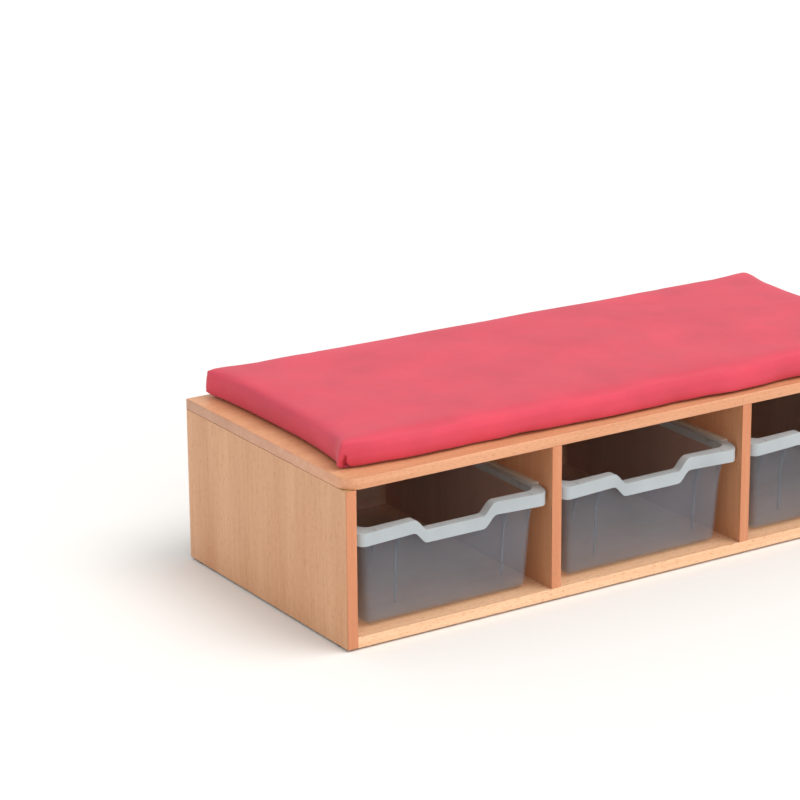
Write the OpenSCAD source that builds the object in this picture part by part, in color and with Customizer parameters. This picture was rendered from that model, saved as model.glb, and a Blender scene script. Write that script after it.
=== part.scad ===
// Low storage bench for a playroom: a board cabinet with three open bays, a pull-out
// plastic tray hanging on runners in each bay, and a soft seat cushion on top.
// Origin: centre of the footprint, on the floor. X runs along the bench, the open
// front faces -Y and Z is up. All sizes are in millimetres.

/* [Cabinet] */
// Clear width of each bay between two uprights
bay_w = 320; // [300:2:340]
// Depth of the cabinet from the front edges to the back panel
cabinet_d = 436; // [420:2:470]
// Height from the underside of the base panel to the top surface
cabinet_h = 242; // [236:2:280]
// Thickness of the boards
board_t = 16; // [16:1:19]
// Thickness of the edge bands on the visible board edges
band_t = 2; // [1:0.5:3]
// Radius of the top panel's two front corners
corner_r = 26; // [10:2:40]
// Thickness of the back panel
back_t = 4; // [3:0.5:5]
// Height of the glides under the cabinet
glide_h = 3; // [2:0.5:5]

/* [Trays] */
// Height of a tray from its underside to its rim
tray_h = 146; // [130:2:150]
// Gap between the tray's underside and the base panel
tray_clear = 2; // [2:1:6]
// How far the rim dips in the middle for the fingers
rim_dip = 17; // [10:1:20]
// Height of the lip that hangs from the front and back rims
lip_h = 19; // [12:1:22]
// Wall thickness of the tray
tray_wall = 2.5; // [2:0.25:3]

/* [Cushion] */
// Length of the cushion
cushion_l = 976; // [900:2:980]
// Width of the cushion from front to back
cushion_w = 404; // [360:2:408]
// Thickness of the cushion
cushion_t = 40; // [30:1:60]
// Angle that the cushion lies turned on the top panel, in degrees
cushion_turn = -1.4; // [-1.4:0.1:1.4]

/* [Hidden] */
$fn = 48;

// Cabinet planes
bay_count = 3;
pitch = bay_w + board_t;
cabinet_l = bay_count * pitch + board_t;
half_l = cabinet_l / 2;
front_y = -cabinet_d / 2;
back_y = cabinet_d / 2;
back_face_y = back_y - back_t;
panel_z = glide_h;
bay_z = panel_z + board_t;
top_z = panel_z + cabinet_h;
joint_z = top_z - board_t;
rebate_w = board_t / 2;

// Joinery: two cams and two dowels in each joint, set in from the front and the back
fit_gap = 0.05;
cam_ys = [-158, 158];
dowel_ys = [-108, 108];
dowel_d = 8;
dowel_l = 30;
dowel_chamfer = 1;
dowel_shift = 4;
end_gap = 0.5;
cam_d = 15;
cam_t = 12.5;
cam_reach = 34;
cam_bore_d = 8;
bolt_d = 5;
bolt_head_d = 7;
bolt_head_h = 3;
bolt_thread_l = 11;
slot_w = 1.2;
slot_depth = 2;

// Screws: shank, head diameter, head height and length, with a cross recess in a countersunk head
runner_screw = [3, 6.4, 1.9, 8.5];
back_screw = [3, 6.4, 1.9, 18];
divider_screw = [5, 9.5, 4, 50];
screw_tip_d = 0.5;
back_screw_rise = 60;
back_screw_drop = 40;

// Tray: the rim hangs in the runners, the body tapers towards its underside
tray_z = bay_z + tray_clear;
rim_z = tray_z + tray_h;
rim_t = 2.5;
rim_side_gap = 4;
rim_front_gap = 2;
rim_back_gap = 6;
rim_half_w = bay_w / 2 - rim_side_gap;
rim_l = cabinet_d - back_t - rim_front_gap - rim_back_gap;
rim_r = 14;
rim_inner_r_min = 1;
rim_side_w = 11;
rim_end_w = 13;
lip_t = 2.2;
lip_return = 20;
body_r = 16;
body_foot_r = 8;
side_draft = 13;
end_draft = 8;
dip_inner = 46;
dip_outer = 68;
headroom = 30;
// Webs between the front lip and the front wall: place from the middle, drop below the rim and
// height off the wall where the web has become a rib
gusset_t = 2;
short_gusset = [128, 58, 0.6];
long_gusset = [88, 121, 2.4];
gusset_neck = 50;

// Runners: a web screwed to the upright, a ledge under the tray's rim and a keeper over it
runner_web_t = 2;
runner_reach = 9.5;
runner_ledge_t = 2;
runner_keeper_t = 1.5;
runner_play = 0.3;
runner_h = 22;
runner_front_setback = 34;
runner_back_setback = 8;
runner_front_y = front_y + runner_front_setback;
runner_back_y = back_face_y - runner_back_setback;
runner_screw_ys = [-140, 0, 140];
runner_screw_rise = 8;
runner_ledge_z = rim_z - rim_t - runner_play;
runner_keeper_z = rim_z + runner_play;
runner_foot_z = runner_keeper_z + runner_keeper_t - runner_h;
runner_screw_z = runner_foot_z + runner_screw_rise;

// Cushion: it rests on pairs of hook and loop patches
patch_t = 0.8;
patch_gap = 0.2;
patch_size = [150, 25];
patch_x = 330;
patch_y = 120;
cushion_z = top_z + 2 * patch_t + patch_gap;
cushion_corner_r = 13;
cushion_edge_r = 6;
cover_t = 1.5;

// Glides
glide_d = 14;
glide_nail_d = 2;
glide_nail_l = 14;
glide_ys = [-190, 190];

BOARD = "#d9a77f";
BAND = "#e6a078";
BACK = "#d8b490";
CLEAR = "#b9c4c6";
STEEL = "#b8bbbf";
BEECH = "#dcbb92";

// Left face and middle of each upright, counted from the left end panel, and middle of each bay
function upright_x(i) = -half_l + i * pitch;
function upright_mid(i) = upright_x(i) + board_t / 2;
function bay_mid(i) = upright_x(i) + pitch / 2 + board_t / 2;

// ---- Joinery ----

module dowel() {
    straight = dowel_l - 2 * dowel_chamfer;
    translate([0, 0, -dowel_l / 2])
        cylinder(d1 = dowel_d - 2 * dowel_chamfer, d2 = dowel_d, h = dowel_chamfer);
    cylinder(d = dowel_d, h = straight, center = true);
    translate([0, 0, straight / 2])
        cylinder(d1 = dowel_d, d2 = dowel_d - 2 * dowel_chamfer, h = dowel_chamfer);
}

module dowel_hole() {
    cylinder(d = dowel_d + 2 * fit_gap, h = dowel_l + 2 * end_gap, center = true);
}

// Bolt with its thread along +Z from the joint, and its head in the disc on the other side
module cam_bolt() {
    cylinder(d = bolt_d, h = bolt_thread_l);
    translate([0, 0, -cam_reach + bolt_head_h])
        cylinder(d = bolt_d, h = cam_reach - bolt_head_h);
    translate([0, 0, -cam_reach])
        cylinder(d = bolt_head_d, h = bolt_head_h);
}

module cam_bolt_hole() {
    cylinder(d = bolt_d + 2 * fit_gap, h = bolt_thread_l + end_gap);
    translate([0, 0, -cam_reach])
        cylinder(d = cam_bore_d, h = cam_reach);
}

// Disc in the board below the joint, flush with that board's face on +Y
module cam_disc() {
    bore_floor = 2;
    difference() {
        translate([0, board_t / 2, -cam_reach])
            rotate([90, 0, 0])
                cylinder(d = cam_d, h = cam_t);
        translate([0, 0, -cam_reach - bore_floor])
            cylinder(d = cam_bore_d, h = cam_d);
        for (turn = [0, 90])
            translate([0, board_t / 2, -cam_reach])
                rotate([0, turn, 0])
                    cube([slot_w, 2 * slot_depth, cam_d / 2], center = true);
    }
}

module cam_disc_hole() {
    translate([0, board_t / 2 + end_gap, -cam_reach])
        rotate([90, 0, 0])
            cylinder(d = cam_d + 2 * fit_gap, h = cam_t + 2 * end_gap);
}

module cam_holes() {
    cam_bolt_hole();
    cam_disc_hole();
}

// Screw with its head's face at the origin and its point along -Z
module screw(sizes) {
    d = sizes[0];
    head_d = sizes[1];
    head_h = sizes[2];
    length = sizes[3];
    recess_w = d / 4;
    recess_l = head_d / 2;
    difference() {
        union() {
            translate([0, 0, -head_h])
                cylinder(d1 = d, d2 = head_d, h = head_h);
            translate([0, 0, -length + d])
                cylinder(d = d, h = length - d - head_h);
            translate([0, 0, -length])
                cylinder(d1 = screw_tip_d, d2 = d, h = d);
        }
        for (turn = [0, 90])
            rotate([0, 0, turn])
                cube([recess_w, recess_l, head_h], center = true);
    }
}

module screw_hole(sizes) {
    d = sizes[0] + 2 * fit_gap;
    head_d = sizes[1] + 2 * fit_gap;
    head_h = sizes[2];
    translate([0, 0, -head_h])
        cylinder(d1 = d, d2 = head_d, h = head_h);
    translate([0, 0, -sizes[3] - end_gap])
        cylinder(d = d, h = sizes[3] + end_gap - head_h);
}

// Places of the joints. The right end panel's discs face into its own bay, as the others do
module at_top_joint(i, ys) {
    for (y = ys)
        translate([upright_mid(i), y, joint_z])
            rotate([0, 0, i == bay_count ? 90 : -90])
                children();
}

module at_base_end_joint(side, ys) {
    for (y = ys)
        translate([side * (half_l - board_t), y, panel_z + board_t / 2])
            rotate([-90, 0, -90 * side])
                children();
}

module at_divider_foot(i, ys) {
    for (y = ys)
        translate([upright_mid(i), y, bay_z])
            children();
}

// side is -1 for the runner on the left of a bay and 1 for the one on its right
module at_runner_screws(bay, side) {
    for (y = runner_screw_ys)
        translate([bay_mid(bay) + side * (bay_w / 2 - runner_web_t), y, runner_screw_z])
            rotate([0, -90 * side, 0])
                children();
}

module at_back_screws() {
    for (i = [0:bay_count])
        for (z = [bay_z + back_screw_rise, joint_z - back_screw_drop])
            translate([upright_mid(i) + back_screw_shift(i), back_y, z])
                rotate([-90, 0, 0])
                    children();
    for (bay = [0:bay_count - 1])
        for (side = [-1, 1])
            translate([bay_mid(bay) + side * bay_w / 4, back_y, panel_z + board_t / 2])
                rotate([-90, 0, 0])
                    children();
}

// The end panels take their screws in the half thickness that the rebate leaves
function back_screw_shift(i) =
    i == 0 ? board_t / 4 :
    i == bay_count ? -board_t / 4 : 0;

module top_fitting_holes(i) {
    at_top_joint(i, cam_ys)
        cam_holes();
    at_top_joint(i, dowel_ys)
        translate([0, 0, -dowel_shift])
            dowel_hole();
}

module base_end_fitting_holes(side) {
    at_base_end_joint(side, cam_ys)
        cam_holes();
    at_base_end_joint(side, dowel_ys)
        translate([0, 0, -dowel_shift])
            dowel_hole();
}

module divider_foot_holes(i) {
    at_divider_foot(i, cam_ys)
        translate([0, 0, -board_t])
            rotate([180, 0, 0])
                screw_hole(divider_screw);
    at_divider_foot(i, dowel_ys)
        translate([0, 0, dowel_shift])
            dowel_hole();
}

// ---- Boards and bands ----

module top_outline(inset) {
    r = corner_r - inset;
    translate([-half_l + inset, front_y + corner_r])
        square([cabinet_l - 2 * inset, cabinet_d - corner_r - inset]);
    translate([-half_l + corner_r, front_y + inset])
        square([cabinet_l - 2 * corner_r, corner_r]);
    for (side = [-1, 1])
        translate([side * (half_l - corner_r), front_y + corner_r])
            circle(r);
}

module top_panel() {
    color(BOARD)
        difference() {
            translate([0, 0, joint_z])
                linear_extrude(board_t)
                    top_outline(band_t);
            for (i = [0:bay_count])
                top_fitting_holes(i);
        }
}

module top_edge_band() {
    color(BAND)
        translate([0, 0, joint_z])
            linear_extrude(board_t)
                difference() {
                    top_outline(0);
                    top_outline(band_t);
                }
}

module base_panel() {
    color(BOARD)
        difference() {
            translate([-half_l + board_t, front_y + band_t, panel_z])
                cube([cabinet_l - 2 * board_t, cabinet_d - band_t - back_t, board_t]);
            for (side = [-1, 1])
                base_end_fitting_holes(side);
            for (i = [1:bay_count - 1]) {
                divider_foot_holes(i);
                at_glides(i)
                    glide_hole();
            }
            at_back_screws()
                screw_hole(back_screw);
        }
}

module base_edge_band() {
    color(BAND)
        translate([-half_l + board_t, front_y, panel_z])
            cube([cabinet_l - 2 * board_t, band_t, board_t]);
}

// i is 0 for the left end panel and bay_count for the right one
module end_panel(i) {
    side = i == 0 ? -1 : 1;
    color(BOARD)
        difference() {
            translate([upright_x(i), front_y + band_t, panel_z])
                cube([board_t, cabinet_d - band_t, cabinet_h - board_t]);
            translate([side * (half_l - board_t + rebate_w / 2), back_y, panel_z + cabinet_h / 2])
                cube([rebate_w, 2 * back_t, 2 * cabinet_h], center = true);
            top_fitting_holes(i);
            base_end_fitting_holes(side);
            at_runner_screws(i == 0 ? 0 : bay_count - 1, side)
                screw_hole(runner_screw);
            at_back_screws()
                screw_hole(back_screw);
            at_glides(i)
                glide_hole();
        }
}

module divider(i) {
    color(BOARD)
        difference() {
            translate([upright_x(i), front_y + band_t, bay_z])
                cube([board_t, cabinet_d - band_t - back_t, cabinet_h - 2 * board_t]);
            top_fitting_holes(i);
            divider_foot_holes(i);
            at_runner_screws(i - 1, 1)
                screw_hole(runner_screw);
            at_runner_screws(i, -1)
                screw_hole(runner_screw);
            at_back_screws()
                screw_hole(back_screw);
        }
}

module end_band(i) {
    color(BAND)
        translate([upright_x(i), front_y, panel_z])
            cube([board_t, band_t, cabinet_h - board_t]);
}

module divider_band(i) {
    color(BAND)
        translate([upright_x(i), front_y, bay_z])
            cube([board_t, band_t, cabinet_h - 2 * board_t]);
}

module back_panel() {
    inset = board_t - rebate_w;
    color(BACK)
        difference() {
            translate([-half_l + inset, back_face_y, panel_z])
                cube([cabinet_l - 2 * inset, back_t, cabinet_h - board_t]);
            at_back_screws()
                screw_hole(back_screw);
        }
}

// ---- Runners and fasteners ----

module runner(bay, side) {
    length = runner_back_y - runner_front_y;
    color(CLEAR)
        difference() {
            translate([bay_mid(bay) + side * bay_w / 2, runner_front_y, 0])
                mirror([side == 1 ? 1 : 0, 0, 0])
                    union() {
                        translate([0, 0, runner_foot_z])
                            cube([runner_web_t, length, runner_h]);
                        translate([0, 0, runner_ledge_z - runner_ledge_t])
                            cube([runner_reach, length, runner_ledge_t]);
                        translate([0, 0, runner_keeper_z])
                            cube([runner_reach, length, runner_keeper_t]);
                    }
            at_runner_screws(bay, side)
                screw_hole(runner_screw);
        }
}

module runner_screws() {
    color(STEEL)
        for (bay = [0:bay_count - 1])
            for (side = [-1, 1])
                at_runner_screws(bay, side)
                    screw(runner_screw);
}

module back_panel_screws() {
    color(STEEL)
        at_back_screws()
            screw(back_screw);
}

module divider_screws() {
    color(STEEL)
        for (i = [1:bay_count - 1])
            at_divider_foot(i, cam_ys)
                translate([0, 0, -board_t])
                    rotate([180, 0, 0])
                        screw(divider_screw);
}

module top_dowels() {
    color(BEECH)
        for (i = [0:bay_count])
            at_top_joint(i, dowel_ys)
                translate([0, 0, -dowel_shift])
                    dowel();
}

module base_dowels() {
    color(BEECH) {
        for (side = [-1, 1])
            at_base_end_joint(side, dowel_ys)
                translate([0, 0, -dowel_shift])
                    dowel();
        for (i = [1:bay_count - 1])
            at_divider_foot(i, dowel_ys)
                translate([0, 0, dowel_shift])
                    dowel();
    }
}

module at_all_cams() {
    for (i = [0:bay_count])
        at_top_joint(i, cam_ys)
            children();
    for (side = [-1, 1])
        at_base_end_joint(side, cam_ys)
            children();
}

module cam_bolts() {
    color(STEEL)
        at_all_cams()
            cam_bolt();
}

module cam_discs() {
    color(STEEL)
        at_all_cams()
            cam_disc();
}

// ---- Glides ----

module at_glides(i) {
    for (y = glide_ys)
        translate([upright_mid(i), y, panel_z])
            children();
}

module glide() {
    chamfer = glide_h / 3;
    translate([0, 0, -glide_h])
        cylinder(d1 = glide_d - 2 * chamfer, d2 = glide_d, h = chamfer);
    translate([0, 0, chamfer - glide_h])
        cylinder(d = glide_d, h = glide_h - chamfer);
    cylinder(d = glide_nail_d, h = glide_nail_l);
}

module glide_hole() {
    cylinder(d = glide_nail_d + 2 * fit_gap, h = glide_nail_l + end_gap);
}

module floor_glides() {
    color("dimgray")
        for (i = [0:bay_count])
            at_glides(i)
                glide();
}

// ---- Trays ----

// Rim outline seen from above, with the tray's middle at the origin
module rim_outline(inset) {
    w = 2 * (rim_half_w - inset);
    l = rim_l - 2 * inset;
    r = max(rim_r - inset, rim_inner_r_min);
    square([w - 2 * r, l], center = true);
    square([w, l - 2 * r], center = true);
    for (sx = [-1, 1], sy = [-1, 1])
        translate([sx * (w / 2 - r), sy * (l / 2 - r)])
            circle(r);
}

// Drop of the rim at a distance x from the tray's middle: a flat dip between two soft shoulders
function shoulder(s) = rim_dip * (1 - cos(180 * s)) / 2;
rim_shoulder = [
    for (s = [0:1 / 6:1])
        [dip_outer + (dip_inner - dip_outer) * s, -shoulder(s)]
];
rim_curve = concat(
    [[-rim_half_w - 1, 0]],
    [for (p = rim_shoulder) [-p[0], p[1]]],
    [for (k = [len(rim_shoulder) - 1:-1:0]) rim_shoulder[k]],
    [[rim_half_w + 1, 0]]
);

// Band of the given thickness that hangs below the rim's curve, along a length from front to back
module under_rim(thickness, length) {
    lower = [for (k = [len(rim_curve) - 1:-1:0]) rim_curve[k] - [0, thickness]];
    translate([0, length / 2, rim_z])
        rotate([90, 0, 0])
            linear_extrude(length)
                polygon(concat(rim_curve, lower));
}

// Everything above the rim's curve
module above_rim() {
    ceiling = [[rim_half_w + 1, headroom], [-rim_half_w - 1, headroom]];
    translate([0, rim_l, rim_z])
        rotate([90, 0, 0])
            linear_extrude(2 * rim_l)
                polygon(concat(rim_curve, ceiling));
}

// Tapered body, set in by wall: its top is flat and its foot is rounded
module body_shape(wall) {
    lid = 0.1;
    top_w = rim_half_w - rim_side_w - wall;
    top_l = rim_l / 2 - rim_end_w - wall;
    foot_w = top_w - side_draft;
    foot_l = top_l - end_draft;
    top_r = body_r - wall;
    foot_r = body_foot_r - wall / 2;
    hull()
        for (sx = [-1, 1], sy = [-1, 1]) {
            translate([sx * (top_w - top_r), sy * (top_l - top_r), rim_z])
                cylinder(r = top_r, h = lid + wall, $fn = 32);
            translate([sx * (foot_w - foot_r), sy * (foot_l - foot_r), tray_z + wall + foot_r])
                sphere(foot_r, $fn = 32);
        }
}

// Outer face of the front wall at a distance below the rim
function front_wall_y(drop) = -rim_l / 2 + rim_end_w + drop * end_draft / (tray_h - body_foot_r);

// Stiffening web that starts behind the lip, narrows to a low rib and ends on the front wall
module gusset(side, sizes) {
    x = side * sizes[0];
    drop = sizes[1];
    proud = sizes[2];
    front = -rim_l / 2 + lip_t / 2;
    top = rim_z - rim_t / 2;
    translate([x - gusset_t / 2, 0, 0])
        rotate([90, 0, 90])
            linear_extrude(gusset_t)
                polygon([
                    [front, top],
                    [front, rim_z - lip_h + 1],
                    [front_wall_y(gusset_neck) - proud, rim_z - gusset_neck],
                    [front_wall_y(drop) - proud, rim_z - drop],
                    [front_wall_y(drop) + tray_wall / 2, rim_z - drop],
                    [front_wall_y(0) + tray_wall / 2, top]
                ]);
}

// Lip that hangs from the rim along the front, as far as half_w from the middle
module lip(half_w) {
    intersection() {
        translate([0, -rim_l / 2 + lip_return / 2, 0])
            under_rim(lip_h, lip_return);
        translate([0, 0, rim_z - rim_dip - lip_h])
            linear_extrude(rim_dip + lip_h)
                difference() {
                    rim_outline(0);
                    rim_outline(lip_t);
                }
        translate([-half_w, -rim_l, 0])
            cube([2 * half_w, rim_l, rim_z + 1]);
    }
}

module tray(bay) {
    color(CLEAR)
        translate([bay_mid(bay), front_y + rim_front_gap + rim_l / 2, 0]) {
            difference() {
                body_shape(0);
                body_shape(tray_wall);
                above_rim();
            }
            intersection() {
                under_rim(rim_t, rim_l + 2);
                translate([0, 0, rim_z - rim_dip - rim_t])
                    linear_extrude(rim_dip + rim_t)
                        difference() {
                            rim_outline(0);
                            square([
                                2 * (rim_half_w - rim_side_w - tray_wall / 2),
                                rim_l - 2 * rim_end_w - tray_wall
                            ], center = true);
                        }
            }
            lip(rim_half_w);
            // The back lip is cut short at the corners, so that it passes between the runners
            mirror([0, 1, 0])
                lip(rim_half_w - rim_r);
            for (side = [-1, 1], sizes = [short_gusset, long_gusset])
                gusset(side, sizes);
        }
}

// ---- Cushion ----

module cushion_shape(inset) {
    r = cushion_edge_r - inset;
    corner = cushion_corner_r - inset;
    reach_x = cushion_l / 2 - cushion_corner_r;
    reach_y = cushion_w / 2 - cushion_corner_r;
    low = cushion_z + cushion_edge_r;
    high = cushion_z + cushion_t - cushion_edge_r;
    rotate([0, 0, cushion_turn])
        hull()
            for (sx = [-1, 1], sy = [-1, 1], z = [low, high])
                translate([sx * reach_x, sy * reach_y, z])
                    rotate_extrude($fn = 32)
                        translate([corner - r, 0])
                            circle(r, $fn = 32);
}

module cushion_cover() {
    color("#d9505f")
        difference() {
            cushion_shape(0);
            cushion_shape(cover_t);
        }
}

module cushion_foam() {
    color("#f0e6c0")
        cushion_shape(cover_t);
}

module patches(z) {
    for (sx = [-1, 1], sy = [-1, 1])
        translate([sx * patch_x - patch_size[0] / 2, sy * patch_y - patch_size[1] / 2, z])
            cube([patch_size[0], patch_size[1], patch_t]);
}

module hook_patches() {
    color("#5a4a44")
        patches(top_z);
}

module loop_patches() {
    color("#7c3038")
        rotate([0, 0, cushion_turn])
            patches(cushion_z - patch_t);
}

top_panel();
base_panel();
end_panel(0);  // left_end_panel
end_panel(bay_count);  // right_end_panel
divider(1);  // left_divider
divider(2);  // right_divider
back_panel();
top_edge_band();
base_edge_band();
end_band(0);  // left_end_band
end_band(bay_count);  // right_end_band
divider_band(1);  // left_divider_band
divider_band(2);  // right_divider_band
runner(0, -1);  // left_bay_left_runner
runner(0, 1);  // left_bay_right_runner
runner(1, -1);  // middle_bay_left_runner
runner(1, 1);  // middle_bay_right_runner
runner(2, -1);  // right_bay_left_runner
runner(2, 1);  // right_bay_right_runner
runner_screws();
back_panel_screws();
divider_screws();
top_dowels();
base_dowels();
cam_bolts();
cam_discs();
floor_glides();
tray(0);  // left_tray
tray(1);  // middle_tray
tray(2);  // right_tray
cushion_cover();
cushion_foam();
hook_patches();
loop_patches();
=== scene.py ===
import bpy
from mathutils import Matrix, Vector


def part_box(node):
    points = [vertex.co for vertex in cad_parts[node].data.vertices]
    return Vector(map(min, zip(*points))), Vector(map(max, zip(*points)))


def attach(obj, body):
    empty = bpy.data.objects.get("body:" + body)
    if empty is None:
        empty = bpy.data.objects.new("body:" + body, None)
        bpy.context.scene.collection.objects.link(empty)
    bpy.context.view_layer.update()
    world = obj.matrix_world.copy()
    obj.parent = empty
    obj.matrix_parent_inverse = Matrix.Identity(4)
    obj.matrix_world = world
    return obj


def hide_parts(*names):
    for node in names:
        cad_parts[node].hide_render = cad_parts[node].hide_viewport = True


bl_info = {
    "name": "Storage bench with trays and cushion",
    "version": (1, 0, 0),
    "blender": (4, 5, 0),
    "location": "View3D > Sidebar > Bench",
    "description": "Dresses the packed cabinet: edge bands, trays, seat cushion and materials",
    "category": "Object",
}

import math

import bmesh
import bpy
from mathutils import Matrix, Vector, noise

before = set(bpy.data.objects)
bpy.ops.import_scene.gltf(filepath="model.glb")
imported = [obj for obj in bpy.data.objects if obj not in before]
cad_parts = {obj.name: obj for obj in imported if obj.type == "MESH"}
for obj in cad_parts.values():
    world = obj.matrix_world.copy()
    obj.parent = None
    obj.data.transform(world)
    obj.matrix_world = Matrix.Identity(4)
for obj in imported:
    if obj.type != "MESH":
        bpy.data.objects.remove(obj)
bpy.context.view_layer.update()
MM = 0.001
# Two places closer than this count as the same
HAIR = 0.01 * MM
# Faces that meet at more than this meet at a sharp edge
SHARP = math.radians(60)

BAYS = ("left", "middle", "right")
UPRIGHTS = ("left_end", "left_divider", "right_divider", "right_end")


# ---- Sizes and colours ----


def linear(hex_colour):
    """sRGB hex to the linear RGBA that sockets and lights take."""
    parts = [int(hex_colour[i : i + 2], 16) / 255 for i in (1, 3, 5)]
    return tuple(p / 12.92 if p <= 0.04045 else ((p + 0.055) / 1.055) ** 2.4 for p in parts) + (1.0,)


def colour(name, description, hex_colour):
    return bpy.props.FloatVectorProperty(
        name=name,
        description=description,
        default=linear(hex_colour),
        size=4,
        min=0.0,
        max=1.0,
        subtype="COLOR",
    )


def length(name, description, millimetres, low, high):
    return bpy.props.FloatProperty(
        name=name,
        description=description,
        default=millimetres * MM,
        min=low * MM,
        max=high * MM,
        subtype="DISTANCE",
        unit="LENGTH",
    )


class BenchSizes(bpy.types.PropertyGroup):
    """Sizes of what is shaped here. Places and outer sizes come from the frame."""

    band_round: length("Band rounding", "Radius along the outer edges of the bands", 1.0, 0.2, 1.8)
    top_corner: length("Top corner", "Radius of the top board's two front corners", 26, 10, 40)
    band_thickness: length("Band thickness", "Thickness of the edge bands", 2, 1, 3)
    tray_wall: length("Tray wall", "Thickness of the moulded trays", 2.5, 1.5, 3)
    rim_dip: length("Rim dip", "How far the rim dips for the fingers", 17, 5, 20)
    rim_droop: length("Rim droop", "How far the front rim falls towards its ends", 4, 0, 8)
    dip_inner: length("Dip flat", "Half width of the level bottom of the dip", 46, 20, 60)
    dip_outer: length("Dip reach", "Distance from the middle at which the dip starts", 68, 50, 90)
    lip_drop: length("Lip", "Height of the lip that hangs from the rim", 19, 10, 22)
    lip_return: length("Lip return", "How far the lip comes back round the corners", 20, 15, 40)
    cushion_crown: length("Crown", "Most that the cover swells over the foam", 2.5, 1, 12)
    cushion_pull: length("End pull", "How far the short sides are drawn in", 9, 0, 14)
    cushion_corner: length("Foam corner", "Radius of the foam's upright corners", 13, 8, 30)
    cushion_edge: length("Soft edge", "Radius of the top edges between the corners", 15, 6, 24)
    weave: length("Weave", "Spacing of the cover's threads", 1.4, 0.3, 3)
    cushion_turn: bpy.props.FloatProperty(
        name="Cushion turn",
        description="Angle at which the cushion lies on the top board",
        default=math.radians(-1.4),
        subtype="ANGLE",
        unit="ROTATION",
    )


class BenchColours(bpy.types.PropertyGroup):
    """Colours of the finishes."""

    board: colour("Board", "Beech print, light ground", "#dfab80")
    board_streak: colour("Board streak", "Beech print, darker figure", "#d2986d")
    board_fleck: colour("Board fleck", "Beech print, short flecks", "#b97c52")
    # The dividers take a darker copy of the board print: painted shade, for the shade that falls on
    # them inside the bays
    divider_painted_shade: colour("Divider", "Dividers between the bays, light ground", "#d19972")
    divider_streak_painted_shade: colour("Divider streak", "Dividers between the bays, darker figure", "#c48861")
    # The base board and its band take a lighter copy of the beech print: painted light, for the
    # light from the floor that falls on the low front
    base: colour("Base board", "Base board and its band, light ground", "#f8cda6")
    base_streak_painted_light: colour("Base streak", "Base board and its band, darker figure", "#efba90")
    band: colour("Top band", "Band of the top board, light ground", "#e2a67e")
    band_streak: colour("Top band streak", "Band of the top board, darker figure", "#d29169")
    # The upright bands are a darker copy of the top band: painted shade on the upright front edges
    # beside the bays
    upright: colour("Upright band", "Upright edge bands, light ground", "#d89167")
    upright_streak_painted_shade: colour("Upright streak", "Upright edge bands, darker figure", "#c87e56")
    chipboard: colour("Chipboard", "Raw core on unbanded edges", "#c7a071")
    chip: colour("Chip", "Darkest chips of the raw core", "#8d6a42")
    hardboard: colour("Hardboard", "Bare back of the back panel", "#8e6238")
    fibre: colour("Fibre", "Darkest fibres of the bare hardboard", "#74502d")
    tray_wall: colour("Tray wall", "Frosted plastic of the tray's body", "#9ca8b6")
    # The rim is lighter and less see-through than the wall: partly real, as the plastic there is
    # doubled, and partly painted light for the light that falls on top of the rim
    tray_rim_painted_light: colour("Tray rim", "Milky plastic of the rim and lip", "#c1cacf")
    runner: colour("Runner", "Natural plastic of the runners", "#d3d0c6")
    steel: colour("Steel", "Bright zinc plating", "#c9ccd0")
    zinc: colour("Die-cast zinc", "Cam discs", "#a6a8aa")
    dowel: colour("Dowel", "Bare beech", "#d9b184")
    dowel_fleck: colour("Dowel fleck", "Short flecks of the bare beech", "#bd9263")
    glide: colour("Glide", "Dark plastic under the uprights", "#3a3835")
    cover: colour("Cover", "Cushion cover", "#e34c61")
    # Painted shade between the threads of the cover
    painted_thread_shade: colour("Cover shade", "Between the threads of the cover", "#7d1626")
    hook: colour("Hook tape", "Hook side of the patches", "#5a4a44")
    loop: colour("Loop tape", "Loop side of the patches", "#7c3038")
    floor: colour("Floor", "Studio floor", "#f4f3f1")


# ---- Materials ----

# Sizes of the beech print's parts, with the grain and across it
FIGURE = (500 * MM, 45 * MM)
STREAKS = (160 * MM, 5 * MM)
FLECKS = (7 * MM, 1.3 * MM)

# Sizes of the other patterns
CHIPS = 2.5 * MM
FIBRES = 2 * MM
DOWEL_FLECKS = 1.5 * MM
PLASTIC_CLOUDS = 70 * MM
COVER_MOTTLE = 110 * MM
COVER_CREASES = 35 * MM
# A wave texture at scale 1 repeats after this many metres
WAVE_REPEAT = math.pi / 10


def add(tree, kind, inputs=None, stops=None, **settings):
    """Adds a node. An input takes a value, a socket, or a node for its first output."""
    node = tree.nodes.new(kind)
    for name, value in settings.items():
        setattr(node, name, value)
    for socket, value in (inputs or {}).items():
        if isinstance(value, bpy.types.Node):
            value = value.outputs[0]
        if isinstance(value, bpy.types.NodeSocket):
            tree.links.new(value, node.inputs[socket])
        else:
            node.inputs[socket].default_value = value
    if stops:
        ramp = node.color_ramp
        while len(ramp.elements) < len(stops):
            ramp.elements.new(1.0)
        for element, (position, value) in zip(ramp.elements, stops):
            element.position = position
            element.color = value
    return node


def grey(value):
    return (value, value, value, 1.0)


def darker(tone, share):
    """A tone with each of its parts cut to a share of itself."""
    return tuple(part * share for part in tone[:3]) + (1.0,)


def new_material(name, **values):
    """A material, its node tree and its Principled shader, with the shader's constants set."""
    material = bpy.data.materials.new(name)
    material.use_nodes = True
    shader = material.node_tree.nodes["Principled BSDF"]
    for socket, value in values.items():
        shader.inputs[socket.replace("_", " ")].default_value = value
    return material, material.node_tree, shader


def drive(tree, shader, **sources):
    """Links the first output of each node to the shader's socket of that name."""
    for socket, node in sources.items():
        tree.links.new(node.outputs[0], shader.inputs[socket.replace("_", " ")])


def object_coordinates(tree):
    return add(tree, "ShaderNodeTexCoord").outputs["Object"]


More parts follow.
